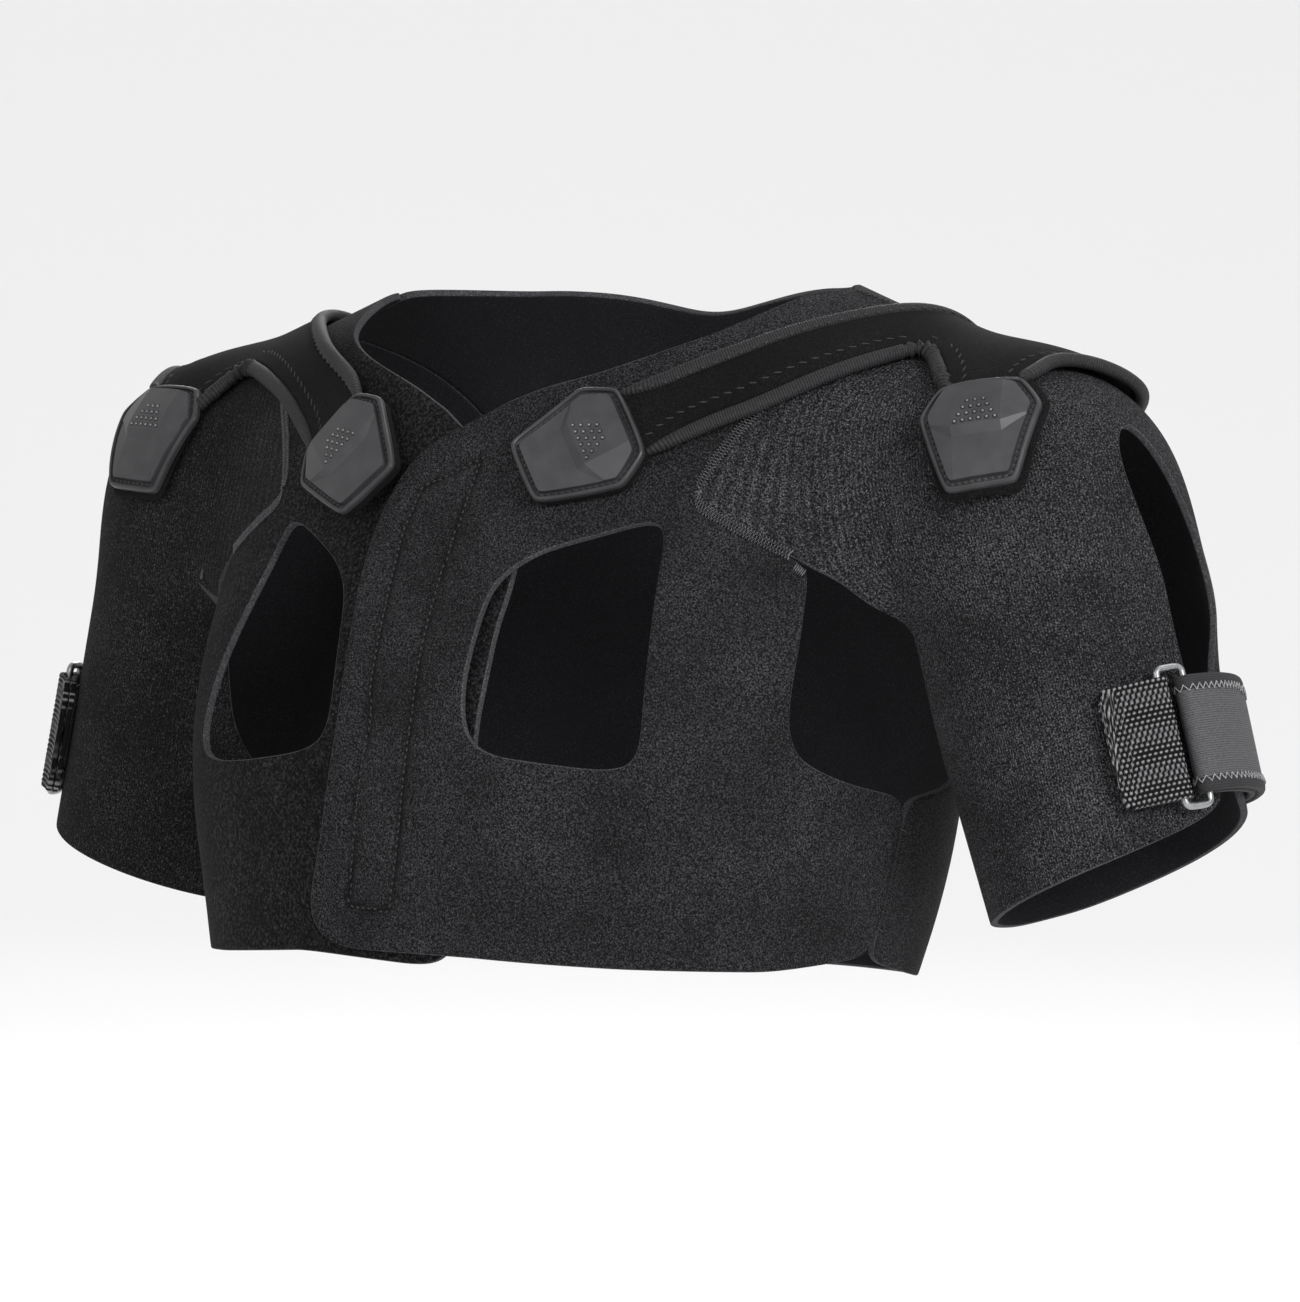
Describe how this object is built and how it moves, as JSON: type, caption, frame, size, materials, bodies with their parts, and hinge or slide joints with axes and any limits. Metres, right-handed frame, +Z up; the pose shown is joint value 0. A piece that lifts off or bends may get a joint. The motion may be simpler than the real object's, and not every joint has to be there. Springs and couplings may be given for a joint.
{
  "type": "shoulder brace",
  "caption": "Worn neoprene brace for both shoulders: chest and back band with two chest windows, short slit sleeves, forked straps ending in moulded pads, and arm straps run through rings.",
  "frame": {"origin": "base of the wearer's neck, on the mid plane, level with the middle of the neckline", "axes": "+Z up, chest toward -Y, wearer's left toward +X"},
  "size_m": [0.5806, 0.2451, 0.2733],
  "materials": {
    "neoprene_pile_black": "brushed pile on neoprene",
    "neoprene_loop_black": "loop pile on neoprene",
    "strap_knit_black": "knit",
    "binding_grey": "rolled elastic binding",
    "moulded_rubber_grey": "matt moulded",
    "webbing_black": "woven webbing",
    "strap_jersey_grey": "jersey",
    "ring_metal": "satin",
    "hook_tape_black": "hook tape"
  },
  "bodies": {
    "root": {"front_panel_left": "neoprene_pile_black", "front_panel_right": "neoprene_pile_black", "front_hook_strip": "hook_tape_black", "back_panel": "neoprene_pile_black", "sleeve_left": "neoprene_loop_black", "sleeve_right": "neoprene_loop_black", "shoulder_strap_left": "strap_knit_black", "shoulder_strap_right": "strap_knit_black", "strap_binding_neck_left": "binding_grey", "strap_binding_fork_left": "binding_grey", "strap_binding_outer_left": "binding_grey", "strap_binding_neck_right": "binding_grey", "strap_binding_fork_right": "binding_grey", "strap_binding_outer_right": "binding_grey", "badge_chest_left": "moulded_rubber_grey", "badge_chest_right": "moulded_rubber_grey", "badge_arm_left": "moulded_rubber_grey", "badge_arm_right": "moulded_rubber_grey", "webbing_tab_left": "webbing_black", "webbing_tab_right": "webbing_black", "arm_strap_left": "strap_jersey_grey", "arm_strap_right": "strap_jersey_grey", "ring_left": "ring_metal", "ring_right": "ring_metal"}
  },
  "joints": []
}
